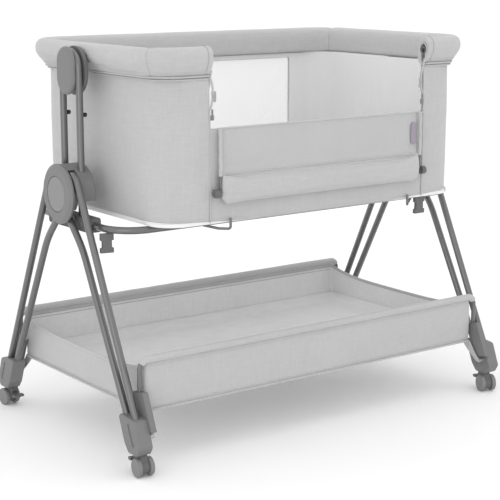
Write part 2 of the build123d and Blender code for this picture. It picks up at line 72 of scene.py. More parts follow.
# places and sizes of the frame's own pieces, in metres
RAIL_LOW, RAIL_HIGH = corners("rail_left")
BODY_LOW, BODY_HIGH = corners("end_panel_left")
WINDOW_LOW, WINDOW_HIGH = corners("back_window")
FRONT_HIGH = corners("front_panel")[1]
PAD_LOW, PAD_HIGH = corners("drop_pad")
MESH_LOW, MESH_HIGH = corners("drop_mesh")
MATTRESS_LOW, MATTRESS_HIGH = corners("mattress")
TUB_LOW, TUB_HIGH = corners("basket_tub")
ROD_LOW, ROD_HIGH = corners("basket_rod_front")
BOARD_LOW = corners("base_board")[0]
RAIL_WIDTH = 38 * MM
RAIL_X = -RAIL_LOW.x - RAIL_WIDTH / 2
RAIL_Y = -RAIL_LOW.y - RAIL_WIDTH / 2
RAIL_BEND = 69 * MM
BODY_X = -BODY_LOW.x
BODY_Y = -BODY_LOW.y
BODY_BEND = 69 * MM
GATE_X = 290 * MM
CLOTH = 0.9 * MM           # thickness of the sewn fabric
ROD_BEND = 20 * MM         # of the basket rods, on their middle line
SIDES = (("left", -1), ("right", 1))
LEGS = (("front", -1), ("back", 1))


# ---------------------------------------------------------------- settings


def length(name, description, default):
    return bpy.props.FloatProperty(name=name, description=description, default=default,
                                   min=0.0, unit="LENGTH", precision=5)


def colour(name, description, default):
    return bpy.props.FloatVectorProperty(name=name, description=description, default=default,
                                         subtype="COLOR", size=3, min=0.0, max=1.0)


class FabricSettings(bpy.types.PropertyGroup):
    shell: colour("Shell", "Colour of the woven outer fabric", (0.47, 0.47, 0.475))
    lining: colour("Lining", "Colour of the inside", (0.75, 0.75, 0.755))
    net: colour("Net", "Colour of the see-through window", (0.97, 0.97, 0.97))
    binding: colour("Binding", "Colour of the strip along the base", (0.82, 0.82, 0.81))
    tag: colour("Tag", "Colour of the plain side tag", (0.31, 0.27, 0.33))
    weave_pitch: length("Weave pitch", "Distance between threads", 1.3 * MM)
    wrinkle: length("Wrinkle depth", "How far loose fabric stands in and out", 0.9 * MM)


class FrameSettings(bpy.types.PropertyGroup):
    tube: colour("Tubes", "Colour of the satin metal tubes", (0.15, 0.15, 0.15))
    plastic: colour("Hubs and shoes", "Colour of the moulded covers", (0.18, 0.18, 0.18))
    dark: colour("Dark plastic", "Colour of forks, clamps and buckles", (0.12, 0.12, 0.12))


class PaddingSettings(bpy.types.PropertyGroup):
    rail_groove: length("Seam groove", "Depth of the seams across the rail", 2.2 * MM)
    bar_swell: length("Bar swell", "How far the gate's padded bar may swell", 5 * MM)
    pressure: bpy.props.FloatProperty(name="Pressure", description="Filling pressure of the pads",
                                      default=4.0, min=0.0, subtype="UNSIGNED")


class StageSettings(bpy.types.PropertyGroup):
    eye: bpy.props.FloatVectorProperty(name="Camera place", description="Where the camera stands",
                                       default=(-1.8857, -2.5631, 1.0105), subtype="TRANSLATION")
    azimuth: bpy.props.FloatProperty(name="Azimuth", description="Camera's turn about the vertical",
                                     default=math.radians(-36.26), subtype="ANGLE")
    elevation: bpy.props.FloatProperty(name="Elevation", description="Camera's height angle",
                                       default=math.radians(11.68), subtype="ANGLE")
    lens: bpy.props.FloatProperty(name="Lens", description="Focal length on a 36 mm sensor",
                                  default=101.1, unit="CAMERA")


SETTINGS = (("bassinet_fabric", FabricSettings), ("bassinet_frame", FrameSettings),
            ("bassinet_padding", PaddingSettings), ("bassinet_stage", StageSettings))


def setting(name):
    return getattr(bpy.context.scene, "bassinet_" + name)


# ---------------------------------------------------------------- shader maths


class Level:
    """A shader socket that takes part in Python arithmetic by adding Math nodes."""

    def __init__(self, shader, socket):
        self.shader = shader
        self.socket = socket

    def _math(self, operation, first, second=None):
        inputs = {0: first} if second is None else {0: first, 1: second}
        return self.shader.node("ShaderNodeMath", {"operation": operation}, inputs)

    def __add__(self, other):
        return self._math("ADD", self, other)

    def __mul__(self, other):
        return self._math("MULTIPLY", self, other)

    def __sub__(self, other):
        return self._math("SUBTRACT", self, other)

    def __rsub__(self, other):
        return self._math("SUBTRACT", other, self)

    def __gt__(self, other):
        return self._math("GREATER_THAN", self, other)

    __radd__ = __add__
    __rmul__ = __mul__

    def sine(self):
        return self._math("SINE", self)

    def size(self):
        return self._math("ABSOLUTE", self)


class Shader:
    """One material's node tree, with a single way to add a node."""

    def __init__(self, name, base, roughness, metallic=0.0, **constants):
        self.material = bpy.data.materials.new(name)
        self.material.use_nodes = True
        self.tree = self.material.node_tree
        self.principled = self.tree.nodes["Principled BSDF"]
        self.base = base
        self.put("Base Color", base)
        self.put("Roughness", roughness)
        self.put("Metallic", metallic)
        for socket, value in constants.items():
            self.put(socket.replace("_", " "), value)

    def put(self, socket, value):
        self.connect(self.principled.inputs[socket], value)

    def connect(self, socket, value):
        if isinstance(value, Level):
            self.tree.links.new(value.socket, socket)
        elif socket.type == "RGBA":
            socket.default_value = (*value[:3], 1.0)
        else:
            socket.default_value = value

    def node(self, kind, settings=None, inputs=None, output=0):
        """Adds a node, makes its settings, then its sockets' values or links."""
        node = self.tree.nodes.new(kind)
        for key, value in (settings or {}).items():
            setattr(node, key, value)
        for key, value in (inputs or {}).items():
            self.connect(node.inputs[key], value)
        return Level(self, node.outputs[output])

    def place(self):
        """The object's own coordinates, in metres."""
        return self.node("ShaderNodeTexCoord", output="Object")

    def axes(self):
        split = self.node("ShaderNodeSeparateXYZ", inputs={0: self.place()})
        outputs = split.socket.node.outputs
        return [Level(self, outputs[k]) for k in range(3)]

    def noise(self, scale, detail, stretch=(1, 1, 1)):
        place = self.node("ShaderNodeMapping", inputs={"Vector": self.place(), "Scale": stretch})
        return self.node("ShaderNodeTexNoise", inputs={
            "Vector": place, "Scale": scale, "Detail": detail, "Roughness": 0.55})

    def tint(self, factor, low, high):
        """A colour between two shades of the base colour."""
        shades = [tuple(min(1.0, c * k) for c in self.base) for k in (low, high)]
        return self.node("ShaderNodeMix", {"data_type": "RGBA"},
                         {"Factor": factor, 6: shades[0], 7: shades[1]}, output=2)

    def bump(self, height, distance, strength=1.0):
        self.put("Normal", self.node("ShaderNodeBump", inputs={
            "Height": height, "Distance": distance, "Strength": strength}))


def woven(name, base, pitch, flat=False, heather=0.24):
    """Plain woven cloth with slubby threads; flat cloth lies in XY, other cloth stands."""
    shader = Shader(name, base, 0.9, Sheen_Weight=0.25, Sheen_Roughness=0.6)
    x, y, z = shader.axes()
    across = x if flat else x.size() - y.size()
    along = y if flat else z
    turn = 2 * math.pi / pitch
    warp = (across * turn).sine()
    weft = (along * turn).sine()
    threads = (warp * weft) * 0.5 + 0.5
    slub_a = shader.noise(260, 2, (1, 1, 0.12))
    slub_b = shader.noise(260, 2, (0.12, 0.12, 1))
    slubs = slub_a * 0.5 + slub_b * 0.5
    cloud = shader.noise(9, 4)
    shader.put("Base Color", shader.tint(slubs * 0.6 + threads * 0.2 + cloud * 0.2,
                                         1 - heather, 1 + heather))
    shader.put("Roughness", 0.84 + slubs * 0.14)
    shader.bump(threads * 0.5 + slubs * 0.5, 0.35 * MM, 0.7)
    return shader.material


def net(name, base, hole, cover, open_share):
    """Knitted net: diagonal threads with see-through holes between them."""
    shader = Shader(name, base, 0.8, Sheen_Weight=0.2)
    x, y, z = shader.axes()
    across = x.size() - y.size()
    turn = math.pi / hole
    first = ((across + z) * turn).sine().size()
    second = ((across - z) * turn).sine().size()
    closeness = 1 - (first * second)
    threads = closeness > (1 - open_share)
    shader.put("Alpha", threads * (1 - cover) + cover)
    shader.put("Base Color", shader.tint(shader.noise(14, 3) * 0.5 + closeness * 0.5, 0.93, 1.04))
    shader.bump(closeness, 0.3 * MM, 0.6)
    return shader.material


def satin_metal(name, base):
    """Powder-finished steel tube with a soft shine."""
    shader = Shader(name, base, 0.32, 0.6, Coat_Weight=0.6, Coat_Roughness=0.12)
    grain = shader.noise(900, 2)
    wear = shader.noise(16, 5)
    shader.put("Base Color", shader.tint(wear, 0.93, 1.07))
    shader.put("Roughness", 0.26 + wear * 0.1 + grain * 0.04)
    shader.bump(grain, 0.05 * MM, 0.5)
    return shader.material


def moulded(name, base, rough=0.5, grain_depth=0.08):
    """Moulded plastic with a fine spark-eroded grain."""
    shader = Shader(name, base, rough)
    grain = shader.noise(1500, 2)
    handled = shader.noise(22, 4)
    shader.put("Base Color", shader.tint(handled * 0.7 + grain * 0.3, 0.95, 1.05))
    shader.put("Roughness", rough - 0.06 + handled * 0.1 + grain * 0.04)
    shader.bump(grain, grain_depth * MM, 0.6)
    return shader.material


def make_materials():
    fabric = setting("fabric")
    metal = setting("frame")
    pitch = fabric.weave_pitch
    return {
        "shell": woven("shell_cloth", fabric.shell, pitch),
        "lining": woven("lining_cloth", fabric.lining, pitch * 0.8, heather=0.05),
        "floor_cloth": woven("flat_cloth", (0.74, 0.74, 0.745), pitch, flat=True),
        "liner": woven("liner_cloth", (0.72, 0.72, 0.725), pitch),
        "mattress": woven("mattress_cloth", (0.78, 0.78, 0.785), pitch, flat=True, heather=0.04),
        "net": net("window_net", fabric.net, 1.8 * MM, 0.25, 0.45),
        "gate_net": net("gate_net", (0.52, 0.52, 0.525), 4.2 * MM, 0.7, 0.5),
        "binding": woven("base_binding", fabric.binding, pitch * 0.7, heather=0.03),
        "thread": moulded("sewing_thread", (0.34, 0.34, 0.345), 0.7),
        "zip": moulded("zip_teeth", (0.2, 0.2, 0.2), 0.45),
        "tag": woven("side_tag_ribbon", fabric.tag, 0.9 * MM, heather=0.12),
        # dark cloth for the sheets set inside the rail's socket openings: painted shade of the deep
        # hole
        "socket_shade": woven("socket_painted_shade_cloth", (0.2, 0.2, 0.2), 1.6 * MM),
        "tube": satin_metal("tube_finish", metal.tube),
        "plastic": moulded("hub_plastic", metal.plastic, 0.5),
        "button": moulded("button_plastic", (0.225, 0.225, 0.225), 0.42),
        "dark": moulded("dark_plastic", metal.dark, 0.5),
        "wheel": moulded("wheel_plastic", (0.2, 0.2, 0.2), 0.55),
        "rubber": moulded("stud_rubber", (0.03, 0.03, 0.03), 0.75),
        "steel": satin_metal("bolt_steel", (0.45, 0.45, 0.45)),
        "brass": satin_metal("screw_brass", (0.3, 0.27, 0.2)),
        "board": moulded("base_board_white", (0.8, 0.8, 0.79), 0.6),
    }


MATERIALS = {}


def material(name):
    if not MATERIALS:
        MATERIALS.update(make_materials())
    return MATERIALS[name]


# ---------------------------------------------------------------- shapes


def smooth(low, high, value):
    """0 below low, 1 above high, eased between."""
    t = min(1.0, max(0.0, (value - low) / (high - low)))
    return t * t * (3 - 2 * t)


def bell(distance, width):
    return math.exp(-(distance / width) ** 2)


def ripple(place, wavelength, seed=0.0):
    """Repeatable smooth noise, about -1 to 1."""
    return noise.noise(Vector(place) / wavelength + Vector((seed, seed * 1.7, -seed)))


def ring(half_x, half_y, bend, step, front_cut=0.0, back_cut=0.0):
    """Stations round a rounded rectangle, as (point, outward normal).

    It starts at the front's middle and goes towards -X. The front is split at
    front_cut and the back at back_cut, so that stations fall there.
    """
    flat_x = half_x - bend
    flat_y = half_y - bend
    stations = []

    def run(start, end, normal):
        count = max(1, round((end - start).length / step))
        for k in range(count):
            stations.append((start.lerp(end, k / count), normal))

    def turn(centre, first):
        count = max(4, round(bend * math.pi / 2 / step))
        for k in range(count):
            angle = first - math.pi / 2 * k / count
            normal = Vector((math.cos(angle), math.sin(angle), 0))
            stations.append((centre + normal * bend, normal))

    def split_run(stops, y, normal):
        for a, b in zip(stops, stops[1:]):
            if abs(a - b) > 1e-6:
                run(Vector((a, y, 0)), Vector((b, y, 0)), normal)

    split_run([0, -front_cut, -flat_x], -half_y, Vector((0, -1, 0)))
    turn(Vector((-flat_x, -flat_y, 0)), -math.pi / 2)
    run(Vector((-half_x, -flat_y, 0)), Vector((-half_x, flat_y, 0)), Vector((-1, 0, 0)))
    turn(Vector((-flat_x, flat_y, 0)), math.pi)
    split_run([-flat_x, -back_cut, back_cut, flat_x], half_y, Vector((0, 1, 0)))
    turn(Vector((flat_x, flat_y, 0)), math.pi / 2)
    run(Vector((half_x, flat_y, 0)), Vector((half_x, -flat_y, 0)), Vector((1, 0, 0)))
    turn(Vector((flat_x, -flat_y, 0)), 0)
    split_run([flat_x, front_cut, 0], -half_y, Vector((0, -1, 0)))
    return stations


def closed_curve(anchors, count):
    """Points along a smooth closed curve through the anchors."""
    total = len(anchors)
    points = []
    for k in range(count):
        t = k / count * total
        i = int(t)
        t -= i
        a, b, c, d = (Vector(anchors[(i + j - 1) % total]) for j in range(4))
        square = 2 * a - 5 * b + 4 * c - d
        cube = 3 * b - a - 3 * c + d
        points.append(0.5 * (2 * b + (c - a) * t + square * t * t + cube * t ** 3))
    return points


def spaced(count, place):
    """Values of place at count + 1 even shares from 0 to 1."""
    return [place(k / count) for k in range(count + 1)]


def patch(rows, columns, place):
    """Rows of points from place(v, u), with v along the rows and u within a row."""
    return spaced(rows, lambda v: spaced(columns, lambda u: place(v, u)))


def at(point, z):
    return Vector((point.x, point.y, z))


def perimeter(stations):
    return sum((a[0] - b[0]).length for a, b in zip(stations, stations[1:] + stations[:1]))


@contextmanager
def editing(mesh):
    """Opens the mesh for editing, then turns its faces outwards and writes it back."""
    builder = bmesh.new()
    builder.from_mesh(mesh)
    yield builder
    bmesh.ops.recalc_face_normals(builder, faces=builder.faces)
    builder.to_mesh(mesh)
    builder.free()


def link(name, mesh):
    obj = bpy.data.objects.new(name, mesh)
    bpy.context.scene.collection.objects.link(obj)
    return obj


def grid(name, rows, loop_rows=False, loop_points=False, skip=None):
    """A mesh of quads between rows of points; skip says which quads to leave out."""
    columns = len(rows[0])
    points = [p for row in rows for p in row]
    faces = []
    last_row = len(rows) if loop_rows else len(rows) - 1
    last_column = columns if loop_points else columns - 1
    for i in range(last_row):
        for j in range(last_column):
            a = i * columns + j
            b = i * columns + (j + 1) % columns
            c = ((i + 1) % len(rows)) * columns + (j + 1) % columns
            d = ((i + 1) % len(rows)) * columns + j
            if skip and skip(sum((points[k] for k in (a, b, c, d)), Vector()) / 4):
                continue
            faces.append((a, b, c, d))
    mesh = bpy.data.meshes.new(name)
    mesh.from_pydata([tuple(p) for p in points], [], faces)
    with editing(mesh) as builder:
        loose = [v for v in builder.verts if not v.link_faces]
        bmesh.ops.delete(builder, geom=loose, context="VERTS")
    mesh.shade_smooth()
    return link(name, mesh)


def thicken(obj, thickness, levels=1, offset=-1.0):
    """Gives a sheet its thickness and rounds it."""
    if thickness:
        solid = obj.modifiers.new("thickness", "SOLIDIFY")
        solid.thickness = thickness
        solid.offset = offset
        solid.use_even_offset = False
    if levels:
        soft = obj.modifiers.new("soft", "SUBSURF")
        soft.levels = levels
        soft.render_levels = levels
    return obj


def cord_curve(name, points, radius, closed=False, taper=None):
    """A round bead, piping or wire along points."""
    curve = bpy.data.curves.new(name, "CURVE")
    curve.dimensions = "3D"
    curve.bevel_depth = radius
    curve.bevel_resolution = 2
    curve.use_fill_caps = True
    spline = curve.splines.new("POLY")
    spline.points.add(len(points) - 1)
    for k, (target, place) in enumerate(zip(spline.points, points)):
        target.co = (*place, 1.0)
        target.radius = taper(k / (len(points) - 1)) if taper else 1.0
    spline.use_cyclic_u = closed
    return link(name, curve)


def stitches(name, lines, pitch=3.4 * MM, share=0.68, radius=0.42 * MM):
    """Rows of short thread dashes along lines of points."""
    mesh = bpy.data.meshes.new(name)
    with editing(mesh) as builder:
        for line in lines:
            travelled = 0.0
            for start, end in zip(line, line[1:]):
                run = end - start
                if run.length < 1e-7:
                    continue
                ahead = run.normalized()
                side = ahead.orthogonal().normalized()
                up = ahead.cross(side)
                while travelled < run.length:
                    middle = start + ahead * travelled
                    reach = ahead * (pitch * share / 2)
                    tips = [builder.verts.new(middle - reach), builder.verts.new(middle + reach)]
                    belt = [builder.verts.new(middle + side * radius * c + up * radius * s)
                            for c, s in ((1, 0), (0, 1), (-1, 0), (0, -1))]
                    for k in range(4):
                        for tip in tips:
                            builder.faces.new((tip, belt[k], belt[(k + 1) % 4]))
                    travelled += pitch
                travelled -= run.length
    return link(name, mesh)


def settle(obj, finish, body, slot, *replaced):
    """Gives a piece its material and body; the slot it stands for is not used."""
    obj.data.materials.clear()
    obj.data.materials.append(material(finish))
    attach(obj, body)
    if replaced:
        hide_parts(*replaced)
    return obj


def inflate(obj, voxel, cap, pressure):
    """Swells a closed pad by cloth simulation, moving no point further than cap."""
    remesh = obj.modifiers.new("remesh", "REMESH")
    remesh.mode = "VOXEL"
    remesh.voxel_size = voxel
    apply_modifiers(obj)
    start = [v.co.copy() for v in obj.data.vertices]
    cloth = obj.modifiers.new("filling", "CLOTH")
    cloth.settings.use_pressure = True
    cloth.settings.uniform_pressure_force = pressure
    cloth.settings.effector_weights.gravity = 0
    cloth.settings.tension_stiffness = 25
    cloth.settings.compression_stiffness = 25
    cloth.settings.quality = 6
    scene = bpy.context.scene
    for number in range(1, 21):
        scene.frame_set(number)
    apply_modifiers(obj)
    scene.frame_set(1)
    for vertex, rest in zip(obj.data.vertices, start):
        moved = vertex.co - rest
        if moved.length > cap:
            vertex.co = rest + moved.normalized() * cap
    thicken(obj, 0)
    obj.data.shade_smooth()


def as_mesh(curve):
    """Turns a beaded curve into a mesh of the same name."""
    name = curve.name
    graph = bpy.context.evaluated_depsgraph_get()
    mesh = bpy.data.meshes.new_from_object(curve.evaluated_get(graph))
    bpy.data.objects.remove(curve)
    return link(name, mesh)


def apply_modifiers(obj):
    graph = bpy.context.evaluated_depsgraph_get()
    mesh = bpy.data.meshes.new_from_object(obj.evaluated_get(graph))
    obj.modifiers.clear()
    obj.data = mesh


# ---------------------------------------------------------------- rail


RAIL_HEM = RAIL_LOW.z
CAP_SPAN = corners("cap_backs")[1].y + 2 * MM
RAIL_RISE = RAIL_HIGH.z - RAIL_LOW.z
SEAM_LEAN = 0.835          # share of the end's normal at which a corner seam lies


def rail_profile(normal):
    """The roll's section as (outward, up) from its middle line; ends tuck in to the body."""
    tuck = 9 * MM * normal.x ** 2
    anchors = [(-17, 3), (-19, 20), (-18.3, 40), (-13, 54), (-1, 59.6), (10, 57.5), (17, 50),
               (19, 40), (17.5, 28), (11, 14), (3, 3), (-6, 0.4)]
    points = []
    for spot in closed_curve([(out * MM, up * MM, 0) for out, up in anchors], 44):
        share = 1 - smooth(0.0, 0.55, spot.y / RAIL_RISE)
        points.append((spot.x - tuck * share * smooth(-18 * MM, 0, spot.x), spot.y))
    return points


def rail_stations():
    keep = GATE_X + 3 * MM
    return [s for s in ring(RAIL_X, RAIL_Y, RAIL_BEND, 5 * MM, keep)
            if not (s[0].y < 0 and abs(s[0].x) < keep - 1e-6)]


def seam_places(stations):
    """Indices of the stations where a seam crosses the rail, one at each corner."""
    return [k for k in range(1, len(stations))
            if (abs(stations[k][1].x) > SEAM_LEAN) != (abs(stations[k - 1][1].x) > SEAM_LEAN)]


class BuildRail(bpy.types.Operator):
    """Build the padded rail with its seams, hem piping and stitching"""
    bl_idname = "bassinet.build_rail"
    bl_label = "Padded rail"

    def execute(self, context):
        stations = rail_stations()
        seams = seam_places(stations)
        groove = setting("padding").rail_groove
        middle_z = RAIL_HEM + RAIL_RISE / 2
        rows = []
        for k, (place, normal) in enumerate(stations):
            row = []
            near_seam = min(abs(k - s) for s in seams)
            pinch = groove * bell(near_seam, 1.1)
            edge = min(k, len(stations) - 1 - k)
            bound = 0.9 * MM * (bell(edge - 0.4, 0.6) + bell(edge - 2.2, 0.6))
            by_cap = 6 * MM * bell(place.y, CAP_SPAN) * smooth(0.8, 1.0, abs(normal.x))
            for out, up in rail_profile(normal):
                spoke = Vector((out, up - RAIL_RISE / 2))
                swell = 1.0 + 0.012 * ripple((place.x, place.y, up * 2), 0.07)
                reach = spoke * swell
                reach -= spoke.normalized() * (pinch - bound)
                reach.x += by_cap * smooth(0, 12 * MM, reach.x)
                point = place + normal * reach.x
                row.append(at(point, middle_z + reach.y))
            rows.append(row)
        first = self.close_end(rows, stations[0], -1)
        rows = first + rows + self.close_end(rows, stations[-1], 1)
        rail = grid("padded_rail", rows, loop_points=True)
        thicken(rail, 0)
        settle(rail, "shell", "cradle", "rail_fabric", "rail_left", "rail_right", "rail_back")

        seam_lines = []
        for number, k in enumerate([*seams, 2, len(stations) - 3]):
            bead = cord_curve(f"rail_seam_{number}", rows[k + len(first)], 0.7 * MM, closed=True)
            settle(bead, "thread", "cradle", "rail_fabric")
        for number, (drop, out) in enumerate(((1.0, 1.6), (6.5, -0.6))):
            line = []
            for place, normal in stations:
                tuck = (12 + 5 * number) * MM * normal.x ** 2
                point = place + normal * (3.4 * MM + out * MM - tuck)
                line.append(at(point, RAIL_HEM + 2 * MM - drop * MM))
            piping = cord_curve(f"rail_piping_{number}", line, 2.1 * MM)
            settle(piping, "shell", "cradle", "rail_fabric")
        for up in (5, 9):
            line = []
            for (place, normal), row in zip(stations, rows[len(first):]):
                spots = [(p, (p - place).xy.dot(normal.xy)) for p in row]
                best = min(((p, out) for p, out in spots if out > -14 * MM * abs(normal.x)),
                           key=lambda spot: abs(spot[0].z - RAIL_HEM - up * MM) - spot[1])[0]
                line.append(best + normal * 0.4 * MM)
            seam_lines.append(line)
        settle(stitches("rail_stitching", seam_lines), "thread", "cradle", "rail_fabric")
        return {"FINISHED"}

    def close_end(self, rows, station, direction):
        """Rings that round off the roll's open end and gather it to the socket; a dark sheet behind
        the opening is painted shade for the socket's hollow.
        """
        place, _ = station
        source = rows[0] if direction < 0 else rows[-1]
        towards = Vector((1 if place.x < 0 else -1, 0, 0))
        centre = Vector((place.x, place.y, RAIL_HEM + RAIL_RISE / 2))
        steps = [(1.6, 0.08), (2.6, 0.3), (2.8, 0.7), (1.2, 1.0), (-9.0, 1.0)]
        rings = []
        for advance, share in steps:
            rings.append([p.lerp(keyhole(centre, p), share) + towards * advance * MM
                          for p in source])
        side = "left" if place.x < 0 else "right"
        rim = cord_curve(f"socket_rim_{side}", [p + towards * 1.2 * MM for p in rings[3]],
                         1.5 * MM, closed=True)
        settle(rim, "shell", "cradle", "rail_fabric")
        # a dark sheet set 5 mm inside the opening: painted shade that stands in for the socket's
        # deep hollow
        hollow = grid(f"socket_shade_sheet_{side}",
                      [[keyhole(centre, p, share) - towards * 5 * MM for p in source]
                       for share in (1.15, 0.6, 0.05)], loop_points=True)
        thicken(hollow, 0.6 * MM, 0)
        settle(hollow, "socket_shade", "cradle", "rail_fabric")
        return rings[::-1] if direction < 0 else rings


def keyhole(centre, point, share=1.0):
    """Where the spoke from centre to point meets the drop-shaped opening round the socket."""
    spoke = (point - centre).normalized()
    stretch = 0.72 if spoke.z > 0 else 0.42
    reach = 11.5 * MM / math.hypot(spoke.y, spoke.z * stretch)
    if spoke.z < 0:
        reach *= 1 - 0.3 * math.sin(2 * math.atan2(-spoke.z, abs(spoke.y))) ** 2
    return centre + spoke * reach * share


# ---------------------------------------------------------------- body


def hem_height(place):
    """The fabric's lower edge, which rises towards the ends."""
    return BODY_LOW.z - 7 * MM + 9 * MM * smooth(0.16, 0.4, abs(place.x))


class BuildShell(bpy.types.Operator):
    """Build the woven outer wall, its lining, the base binding and seams"""
    bl_idname = "bassinet.build_shell"
    bl_label = "Fabric body"

    def execute(self, context):
        self.wall("body_shell", BODY_X, BODY_Y, BODY_BEND, 1.0, "shell")
        gap = 3 * MM
        self.wall("body_lining", BODY_X - gap, BODY_Y - gap, BODY_BEND - gap, -1.0, "lining")
        self.base()
        self.window()
        return {"FINISHED"}

    def wall(self, name, half_x, half_y, bend, outward, finish):
        wrinkle = setting("fabric").wrinkle
        window_x = WINDOW_HIGH.x
        stations = ring(half_x, half_y, bend, (9 if outward > 0 else 6) * MM, GATE_X, window_x)
        stops = [WINDOW_LOW.z, FRONT_HIGH.z, WINDOW_HIGH.z, BODY_HIGH.z]
        rows = []
        for place, normal in stations:
            row = []
            for z in self.heights(hem_height(place), stops):
                level = (z - BODY_LOW.z) / (BODY_HIGH.z - BODY_LOW.z)
                puff = 1.2 * MM * math.sin(math.pi * level)
                fold = wrinkle * ripple((place.x, place.y, z * 0.35), 0.045, outward)
                if outward < 0:
                    slant = (place.x - place.y) * 1.6 + (z - BODY_LOW.z) * 0.12
                    fold += 2.6 * MM * ripple((slant, 0, z * 0.12), 0.028, 4)
                    puff = -1.8 * MM
                corner = abs(normal.x * normal.y) * 2
                fold += 0.8 * MM * corner * ripple((0, 0, z), 0.05, 2)
                point = place + normal * (puff + fold * math.sin(math.pi * min(1, level * 1.02)))
                row.append(at(point, z))
            rows.append(row)

        def opening(centre):
            in_gate = centre.y < 0 and abs(centre.x) < GATE_X and centre.z > FRONT_HIGH.z
            window = (centre.y > half_y - 20 * MM and abs(centre.x) < window_x
                      and WINDOW_LOW.z < centre.z < WINDOW_HIGH.z)
            return in_gate or window

        wall = grid(name, rows, loop_rows=True, skip=opening)
        thicken(wall, CLOTH)
        replaced = ("end_panel_left", "end_panel_right", "back_panel", "front_panel")
        settle(wall, finish, "cradle", "shell_fabric", *(replaced if outward > 0 else ()))

    def heights(self, low, stops):
        levels = [low]
        for start, stop in zip([BODY_LOW.z, *stops], stops):
            count = max(1, round((stop - start) / (14 * MM)))
            start = levels[-1]
            levels += [start + (stop - start) * (k + 1) / count for k in range(count)]
        return levels

    def base(self):
        stations = ring(BODY_X - 1.2 * MM, BODY_Y - 1.2 * MM, BODY_BEND - 1.2 * MM, 8 * MM)
        rows = []
        hem = []
        for place, normal in stations:
            low = BOARD_LOW.z - 0.5 * MM
            rise = max(hem_height(place) + 3 * MM - low, 4 * MM)
            under = place - normal * 0.8 * MM
            rows.append([at(under if k == 0 else place, low + rise * k / 3) for k in range(4)])
            hem.append(place + normal * 1.7 * MM + Vector((0, 0, hem_height(place) + 6 * MM)))
        binding = grid("base_binding", rows, loop_rows=True)
        thicken(binding, CLOTH)
        settle(binding, "binding", "cradle", "white_board")
        around = perimeter(stations)
        settle(stitches("base_stitching", [hem + hem[:1]], radius=0.3 * MM), "thread", "cradle",
               "shell_fabric")

    def window(self):
        seam = 4 * MM
        rise = WINDOW_HIGH.z - WINDOW_LOW.z + 2 * seam

        def spot(v, u):
            x = (WINDOW_HIGH.x + seam) * (2 * u - 1)
            z = WINDOW_LOW.z - seam + rise * v
            ease = math.sin(math.pi * v) * math.sin(math.pi * u)
            slack = 2.2 * MM * ease * ripple((x, 0, z * 0.4), 0.06, 7)
            return Vector((x, BODY_Y - 2 * MM + slack, z))

        window = grid("window_net", patch(24, 56, spot))
        settle(window, "net", "cradle", "mesh_fabric", "back_window")


# ---------------------------------------------------------------- mattress and drop side


class BuildMattress(bpy.types.Operator):
    """Build the crowned mattress with its piped edge"""
    bl_idname = "bassinet.build_mattress"
    bl_label = "Mattress"

    def execute(self, context):
        inset = 4 * MM
        half_x = MATTRESS_HIGH.x - inset
        half_y = MATTRESS_HIGH.y - inset
        bend = 48 * MM
        thick = MATTRESS_HIGH.z - MATTRESS_LOW.z
        rows = []
        for place, normal in ring(half_x, half_y, bend, 12 * MM):
            row = []
            for k in range(9):
                angle = math.pi * (k / 8 - 0.5)
                point = place + normal * (math.cos(angle) - 1) * 9 * MM
                row.append(at(point, MATTRESS_LOW.z + thick * (0.5 + 0.46 * math.sin(angle))))
            rim = row[-1]
            for share in (0.9, 0.7, 0.45, 0.2, 0.0):
                spot = at(rim * share, 0)
                crown = 2.2 * MM * (1 - share ** 2) + 0.8 * MM * ripple(spot, 0.09)
                row.append(at(spot, rim.z + crown))
            row.insert(0, Vector((0, 0, row[0].z)))
            rows.append(row)
        pad = grid("mattress_pad", rows, loop_rows=True)
        weld(pad)
        thicken(pad, 0)
        settle(pad, "mattress", "cradle", "mattress_cover", "mattress")
        for name, z in (("top", 0.86), ("bottom", 0.14)):
            line = [p + Vector((0, 0, MATTRESS_LOW.z + thick * z)) - n * 3.4 * MM
                    for p, n in ring(half_x, half_y, bend, 12 * MM)]
            bead = cord_curve(f"mattress_piping_{name}", line, 2.0 * MM, closed=True)
            settle(bead, "binding", "cradle", "mattress_cover")
        return {"FINISHED"}


def weld(obj):
    """Joins points that lie on each other."""
    with editing(obj.data) as builder:
        bmesh.ops.remove_doubles(builder, verts=builder.verts, dist=1e-5)
    obj.data.shade_smooth()


